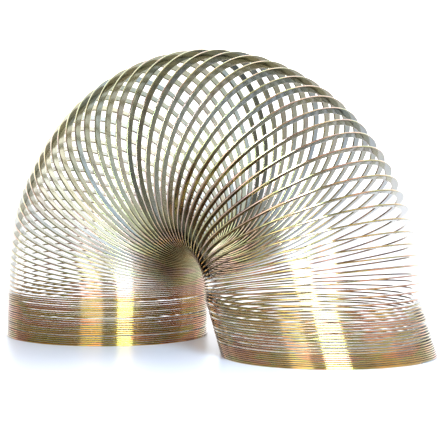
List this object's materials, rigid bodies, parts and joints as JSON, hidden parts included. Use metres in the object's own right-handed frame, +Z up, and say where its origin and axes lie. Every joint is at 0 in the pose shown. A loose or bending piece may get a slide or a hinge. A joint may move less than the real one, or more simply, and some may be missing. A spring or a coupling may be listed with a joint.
{
  "type": "spring coil toy",
  "caption": "flat-wire metal coil toy bent over into an arch, its two ends standing as closed stacks of turns while the turns between fan open",
  "frame": {"origin": "centre of the bounding box on the floor plane, midway between the outer sides of the arch", "axes": "+X from the far foot to the near foot, +Y across the coil, +Z up; metres"},
  "size_m": [0.1634, 0.07, 0.0986],
  "materials": {
    "wire": "yellow passivated zinc plating on spring steel, bright with pink and green tints"
  },
  "bodies": {
    "near_foot": {"near_end_turn": "wire", "near_stack_low": "wire", "near_stack_high": "wire"},
    "turn_01": {"arch_turn_01": "wire"},
    "turn_02": {"arch_turn_02": "wire"},
    "turn_03": {"arch_turn_03": "wire"},
    "turn_04": {"arch_turn_04": "wire"},
    "turn_05": {"arch_turn_05": "wire"},
    "turn_06": {"arch_turn_06": "wire"},
    "turn_07": {"arch_turn_07": "wire"},
    "turn_08": {"arch_turn_08": "wire"},
    "turn_09": {"arch_turn_09": "wire"},
    "turn_10": {"arch_turn_10": "wire"},
    "turn_11": {"arch_turn_11": "wire"},
    "turn_12": {"arch_turn_12": "wire"},
    "turn_13": {"arch_turn_13": "wire"},
    "turn_14": {"arch_turn_14": "wire"},
    "turn_15": {"arch_turn_15": "wire"},
    "turn_16": {"arch_turn_16": "wire"},
    "turn_17": {"arch_turn_17": "wire"},
    "turn_18": {"arch_turn_18": "wire"},
    "turn_19": {"arch_turn_19": "wire"},
    "turn_20": {"arch_turn_20": "wire"},
    "turn_21": {"arch_turn_21": "wire"},
    "turn_22": {"arch_turn_22": "wire"},
    "turn_23": {"arch_turn_23": "wire"},
    "turn_24": {"arch_turn_24": "wire"},
    "turn_25": {"arch_turn_25": "wire"},
    "turn_26": {"arch_turn_26": "wire"},
    "turn_27": {"arch_turn_27": "wire"},
    "turn_28": {"arch_turn_28": "wire"},
    "turn_29": {"arch_turn_29": "wire"},
    "turn_30": {"arch_turn_30": "wire"},
    "turn_31": {"arch_turn_31": "wire"},
    "turn_32": {"arch_turn_32": "wire"},
    "turn_33": {"arch_turn_33": "wire"},
    "turn_34": {"arch_turn_34": "wire"},
    "turn_35": {"arch_turn_35": "wire"},
    "turn_36": {"arch_turn_36": "wire"},
    "turn_37": {"arch_turn_37": "wire"},
    "turn_38": {"arch_turn_38": "wire"},
    "turn_39": {"arch_turn_39": "wire"},
    "turn_40": {"arch_turn_40": "wire"},
    "turn_41": {"arch_turn_41": "wire"},
    "turn_42": {"arch_turn_42": "wire"},
    "turn_43": {"arch_turn_43": "wire"},
    "turn_44": {"arch_turn_44": "wire"},
    "turn_45": {"arch_turn_45": "wire"},
    "turn_46": {"arch_turn_46": "wire"},
    "turn_47": {"arch_turn_47": "wire"},
    "turn_48": {"arch_turn_48": "wire"},
    "turn_49": {"arch_turn_49": "wire"},
    "turn_50": {"arch_turn_50": "wire"},
    "turn_51": {"arch_turn_51": "wire"},
    "turn_52": {"arch_turn_52": "wire"},
    "turn_53": {"arch_turn_53": "wire"},
    "far_foot": {"far_stack_high": "wire", "far_stack_low": "wire", "far_end_turn": "wire"}
  },
  "joints": [
    {"name": "bend_01", "type": "hinge", "parent": "near_foot", "child": "turn_01", "pos_m": [0.00536, 0, 0.01809], "axis": [0, -1, 0], "range_deg": [-1.51, 0.15]},
    {"name": "bend_02", "type": "hinge", "parent": "turn_01", "child": "turn_02", "pos_m": [0.00534, 0, 0.01869], "axis": [0, -1, 0], "range_deg": [-1.68, 0.17]},
    {"name": "bend_03", "type": "hinge", "parent": "turn_02", "child": "turn_03", "pos_m": [0.00531, 0, 0.01929], "axis": [0, -1, 0], "range_deg": [-1.57, 0.16]},
    {"name": "bend_04", "type": "hinge", "parent": "turn_03", "child": "turn_04", "pos_m": [0.00526, 0, 0.01989], "axis": [0, -1, 0], "range_deg": [-2.05, 0.2]},
    {"name": "bend_05", "type": "hinge", "parent": "turn_04", "child": "turn_05", "pos_m": [0.00519, 0, 0.02049], "axis": [0, -1, 0], "range_deg": [-2.11, 0.21]},
    {"name": "bend_06", "type": "hinge", "parent": "turn_05", "child": "turn_06", "pos_m": [0.00509, 0, 0.02108], "axis": [0, -1, 0], "range_deg": [-2.27, 0.23]},
    {"name": "bend_07", "type": "hinge", "parent": "turn_06", "child": "turn_07", "pos_m": [0.00498, 0, 0.02167], "axis": [0, -1, 0], "range_deg": [-2.9, 0.29]},
    {"name": "bend_08", "type": "hinge", "parent": "turn_07", "child": "turn_08", "pos_m": [0.00483, 0, 0.02225], "axis": [0, -1, 0], "range_deg": [-2.71, 0.27]},
    {"name": "bend_09", "type": "hinge", "parent": "turn_08", "child": "turn_09", "pos_m": [0.00466, 0, 0.02283], "axis": [0, -1, 0], "range_deg": [-3.29, 0.33]},
    {"name": "bend_10", "type": "hinge", "parent": "turn_09", "child": "turn_10", "pos_m": [0.00445, 0, 0.02339], "axis": [0, -1, 0], "range_deg": [-3.59, 0.36]},
    {"name": "bend_11", "type": "hinge", "parent": "turn_10", "child": "turn_11", "pos_m": [0.00421, 0, 0.02394], "axis": [0, -1, 0], "range_deg": [-3.35, 0.34]},
    {"name": "bend_12", "type": "hinge", "parent": "turn_11", "child": "turn_12", "pos_m": [0.00394, 0, 0.02447], "axis": [0, -1, 0], "range_deg": [-4.14, 0.41]},
    {"name": "bend_13", "type": "hinge", "parent": "turn_12", "child": "turn_13", "pos_m": [0.00363, 0, 0.02499], "axis": [0, -1, 0], "range_deg": [-3.79, 0.38]},
    {"name": "bend_14", "type": "hinge", "parent": "turn_13", "child": "turn_14", "pos_m": [0.00328, 0, 0.02548], "axis": [0, -1, 0], "range_deg": [-3.86, 0.39]},
    {"name": "bend_15", "type": "hinge", "parent": "turn_14", "child": "turn_15", "pos_m": [0.00291, 0, 0.02594], "axis": [0, -1, 0], "range_deg": [-4.31, 0.43]},
    {"name": "bend_16", "type": "hinge", "parent": "turn_15", "child": "turn_16", "pos_m": [0.0025, 0, 0.02638], "axis": [0, -1, 0], "range_deg": [-3.7, 0.37]},
    {"name": "bend_17", "type": "hinge", "parent": "turn_16", "child": "turn_17", "pos_m": [0.00206, 0, 0.02679], "axis": [0, -1, 0], "range_deg": [-4.34, 0.43]},
    {"name": "bend_18", "type": "hinge", "parent": "turn_17", "child": "turn_18", "pos_m": [0.00159, 0, 0.02717], "axis": [0, -1, 0], "range_deg": [-4.33, 0.43]},
    {"name": "bend_19", "type": "hinge", "parent": "turn_18", "child": "turn_19", "pos_m": [0.0011, 0, 0.02751], "axis": [0, -1, 0], "range_deg": [-4.06, 0.41]},
    {"name": "bend_20", "type": "hinge", "parent": "turn_19", "child": "turn_20", "pos_m": [0.00058, 0, 0.02781], "axis": [0, -1, 0], "range_deg": [-4.93, 0.49]},
    {"name": "bend_21", "type": "hinge", "parent": "turn_20", "child": "turn_21", "pos_m": [0.00004, 0, 0.02807], "axis": [0, -1, 0], "range_deg": [-4.4, 0.44]},
    {"name": "bend_22", "type": "hinge", "parent": "turn_21", "child": "turn_22", "pos_m": [-0.00052, 0, 0.02829], "axis": [0, -1, 0], "range_deg": [-4.79, 0.48]},
    {"name": "bend_23", "type": "hinge", "parent": "turn_22", "child": "turn_23", "pos_m": [-0.0011, 0, 0.02846], "axis": [0, -1, 0], "range_deg": [-5.27, 0.53]},
    {"name": "bend_24", "type": "hinge", "parent": "turn_23", "child": "turn_24", "pos_m": [-0.00169, 0, 0.02857], "axis": [0, -1, 0], "range_deg": [-4.62, 0.46]},
    {"name": "bend_25", "type": "hinge", "parent": "turn_24", "child": "turn_25", "pos_m": [-0.00228, 0, 0.02864], "axis": [0, -1, 0], "range_deg": [-5.52, 0.55]},
    {"name": "bend_26", "type": "hinge", "parent": "turn_25", "child": "turn_26", "pos_m": [-0.00288, 0, 0.02865], "axis": [0, -1, 0], "range_deg": [-5.21, 0.52]},
    {"name": "bend_27", "type": "hinge", "parent": "turn_26", "child": "turn_27", "pos_m": [-0.00348, 0, 0.0286], "axis": [0, -1, 0], "range_deg": [-5, 0.5]},
    {"name": "bend_28", "type": "hinge", "parent": "turn_27", "child": "turn_28", "pos_m": [-0.00407, 0, 0.02851], "axis": [0, -1, 0], "range_deg": [-5.76, 0.58]},
    {"name": "bend_29", "type": "hinge", "parent": "turn_28", "child": "turn_29", "pos_m": [-0.00465, 0, 0.02835], "axis": [0, -1, 0], "range_deg": [-4.82, 0.48]},
    {"name": "bend_30", "type": "hinge", "parent": "turn_29", "child": "turn_30", "pos_m": [-0.00522, 0, 0.02815], "axis": [0, -1, 0], "range_deg": [-5.18, 0.52]},
    {"name": "bend_31", "type": "hinge", "parent": "turn_30", "child": "turn_31", "pos_m": [-0.00576, 0, 0.02789], "axis": [0, -1, 0], "range_deg": [-5.1, 0.51]},
    {"name": "bend_32", "type": "hinge", "parent": "turn_31", "child": "turn_32", "pos_m": [-0.00628, 0, 0.02759], "axis": [0, -1, 0], "range_deg": [-4.25, 0.43]},
    {"name": "bend_33", "type": "hinge", "parent": "turn_32", "child": "turn_33", "pos_m": [-0.00677, 0, 0.02725], "axis": [0, -1, 0], "range_deg": [-4.76, 0.48]},
    {"name": "bend_34", "type": "hinge", "parent": "turn_33", "child": "turn_34", "pos_m": [-0.00724, 0, 0.02687], "axis": [0, -1, 0], "range_deg": [-4, 0.4]},
    {"name": "bend_35", "type": "hinge", "parent": "turn_34", "child": "turn_35", "pos_m": [-0.00768, 0, 0.02646], "axis": [0, -1, 0], "range_deg": [-3.73, 0.37]},
    {"name": "bend_36", "type": "hinge", "parent": "turn_35", "child": "turn_36", "pos_m": [-0.00809, 0, 0.02602], "axis": [0, -1, 0], "range_deg": [-3.88, 0.39]},
    {"name": "bend_37", "type": "hinge", "parent": "turn_36", "child": "turn_37", "pos_m": [-0.00847, 0, 0.02556], "axis": [0, -1, 0], "range_deg": [-3.06, 0.31]},
    {"name": "bend_38", "type": "hinge", "parent": "turn_37", "child": "turn_38", "pos_m": [-0.00882, 0, 0.02507], "axis": [0, -1, 0], "range_deg": [-3.27, 0.33]},
    {"name": "bend_39", "type": "hinge", "parent": "turn_38", "child": "turn_39", "pos_m": [-0.00915, 0, 0.02457], "axis": [0, -1, 0], "range_deg": [-3.04, 0.3]},
    {"name": "bend_40", "type": "hinge", "parent": "turn_39", "child": "turn_40", "pos_m": [-0.00945, 0, 0.02405], "axis": [0, -1, 0], "range_deg": [-2.65, 0.26]},
    {"name": "bend_41", "type": "hinge", "parent": "turn_40", "child": "turn_41", "pos_m": [-0.00972, 0, 0.02352], "axis": [0, -1, 0], "range_deg": [-3.08, 0.31]},
    {"name": "bend_42", "type": "hinge", "parent": "turn_41", "child": "turn_42", "pos_m": [-0.00996, 0, 0.02297], "axis": [0, -1, 0], "range_deg": [-2.64, 0.26]},
    {"name": "bend_43", "type": "hinge", "parent": "turn_42", "child": "turn_43", "pos_m": [-0.01018, 0, 0.02241], "axis": [0, -1, 0], "range_deg": [-2.69, 0.27]},
    {"name": "bend_44", "type": "hinge", "parent": "turn_43", "child": "turn_44", "pos_m": [-0.01038, 0, 0.02184], "axis": [0, -1, 0], "range_deg": [-2.77, 0.28]},
    {"name": "bend_45", "type": "hinge", "parent": "turn_44", "child": "turn_45", "pos_m": [-0.01054, 0, 0.02126], "axis": [0, -1, 0], "range_deg": [-2.21, 0.22]},
    {"name": "bend_46", "type": "hinge", "parent": "turn_45", "child": "turn_46", "pos_m": [-0.01069, 0, 0.02068], "axis": [0, -1, 0], "range_deg": [-2.39, 0.24]},
    {"name": "bend_47", "type": "hinge", "parent": "turn_46", "child": "turn_47", "pos_m": [-0.01081, 0, 0.02009], "axis": [0, -1, 0], "range_deg": [-2.05, 0.2]},
    {"name": "bend_48", "type": "hinge", "parent": "turn_47", "child": "turn_48", "pos_m": [-0.0109, 0, 0.0195], "axis": [0, -1, 0], "range_deg": [-1.74, 0.17]},
    {"name": "bend_49", "type": "hinge", "parent": "turn_48", "child": "turn_49", "pos_m": [-0.01098, 0, 0.01891], "axis": [0, -1, 0], "range_deg": [-1.79, 0.18]},
    {"name": "bend_50", "type": "hinge", "parent": "turn_49", "child": "turn_50", "pos_m": [-0.01104, 0, 0.01831], "axis": [0, -1, 0], "range_deg": [-1.35, 0.13]},
    {"name": "bend_51", "type": "hinge", "parent": "turn_50", "child": "turn_51", "pos_m": [-0.01109, 0, 0.01771], "axis": [0, -1, 0], "range_deg": [-1.3, 0.13]},
    {"name": "bend_52", "type": "hinge", "parent": "turn_51", "child": "turn_52", "pos_m": [-0.01112, 0, 0.01711], "axis": [0, -1, 0], "range_deg": [-1.19, 0.12]},
    {"name": "bend_53", "type": "hinge", "parent": "turn_52", "child": "turn_53", "pos_m": [-0.01114, 0, 0.01651], "axis": [0, -1, 0], "range_deg": [-0.94, 0.09]},
    {"name": "bend_54", "type": "hinge", "parent": "turn_53", "child": "far_foot", "pos_m": [-0.01116, 0, 0.01591], "axis": [0, -1, 0], "range_deg": [-1.06, 0.11]}
  ],
  "couplings": [
    {"joint": "bend_02", "follows": "bend_01", "ratio": 1.114},
    {"joint": "bend_03", "follows": "bend_01", "ratio": 1.0385},
    {"joint": "bend_04", "follows": "bend_01", "ratio": 1.3549},
    {"joint": "bend_05", "follows": "bend_01", "ratio": 1.3999},
    {"joint": "bend_06", "follows": "bend_01", "ratio": 1.505},
    {"joint": "bend_07", "follows": "bend_01", "ratio": 1.9216},
    {"joint": "bend_08", "follows": "bend_01", "ratio": 1.7971},
    {"joint": "bend_09", "follows": "bend_01", "ratio": 2.1752},
    {"joint": "bend_10", "follows": "bend_01", "ratio": 2.3772},
    {"joint": "bend_11", "follows": "bend_01", "ratio": 2.2182},
    {"joint": "bend_12", "follows": "bend_01", "ratio": 2.7424},
    {"joint": "bend_13", "follows": "bend_01", "ratio": 2.5087},
    {"joint": "bend_15", "follows": "bend_14", "ratio": 1.1179},
    {"joint": "bend_16", "follows": "bend_14", "ratio": 0.95923},
    {"joint": "bend_17", "follows": "bend_14", "ratio": 1.1247},
    {"joint": "bend_18", "follows": "bend_14", "ratio": 1.1217},
    {"joint": "bend_19", "follows": "bend_14", "ratio": 1.0538},
    {"joint": "bend_20", "follows": "bend_14", "ratio": 1.2782},
    {"joint": "bend_21", "follows": "bend_14", "ratio": 1.1413},
    {"joint": "bend_22", "follows": "bend_14", "ratio": 1.2431},
    {"joint": "bend_23", "follows": "bend_14", "ratio": 1.3677},
    {"joint": "bend_24", "follows": "bend_14", "ratio": 1.1979},
    {"joint": "bend_25", "follows": "bend_14", "ratio": 1.4324},
    {"joint": "bend_26", "follows": "bend_14", "ratio": 1.3511},
    {"joint": "bend_27", "follows": "bend_14", "ratio": 1.2962},
    {"joint": "bend_29", "follows": "bend_28", "ratio": 0.83781},
    {"joint": "bend_30", "follows": "bend_28", "ratio": 0.89921},
    {"joint": "bend_31", "follows": "bend_28", "ratio": 0.88665},
    {"joint": "bend_32", "follows": "bend_28", "ratio": 0.73916},
    {"joint": "bend_33", "follows": "bend_28", "ratio": 0.82618},
    {"joint": "bend_34", "follows": "bend_28", "ratio": 0.69419},
    {"joint": "bend_35", "follows": "bend_28", "ratio": 0.64719},
    {"joint": "bend_36", "follows": "bend_28", "ratio": 0.67466},
    {"joint": "bend_37", "follows": "bend_28", "ratio": 0.53169},
    {"joint": "bend_38", "follows": "bend_28", "ratio": 0.56868},
    {"joint": "bend_39", "follows": "bend_28", "ratio": 0.52743},
    {"joint": "bend_40", "follows": "bend_28", "ratio": 0.45989},
    {"joint": "bend_42", "follows": "bend_41", "ratio": 0.85991},
    {"joint": "bend_43", "follows": "bend_41", "ratio": 0.87451},
    {"joint": "bend_44", "follows": "bend_41", "ratio": 0.89973},
    {"joint": "bend_45", "follows": "bend_41", "ratio": 0.72001},
    {"joint": "bend_46", "follows": "bend_41", "ratio": 0.77833},
    {"joint": "bend_47", "follows": "bend_41", "ratio": 0.66511},
    {"joint": "bend_48", "follows": "bend_41", "ratio": 0.56498},
    {"joint": "bend_49", "follows": "bend_41", "ratio": 0.58224},
    {"joint": "bend_50", "follows": "bend_41", "ratio": 0.43812},
    {"joint": "bend_51", "follows": "bend_41", "ratio": 0.42282},
    {"joint": "bend_52", "follows": "bend_41", "ratio": 0.38827},
    {"joint": "bend_53", "follows": "bend_41", "ratio": 0.30706},
    {"joint": "bend_54", "follows": "bend_41", "ratio": 0.34323}
  ]
}
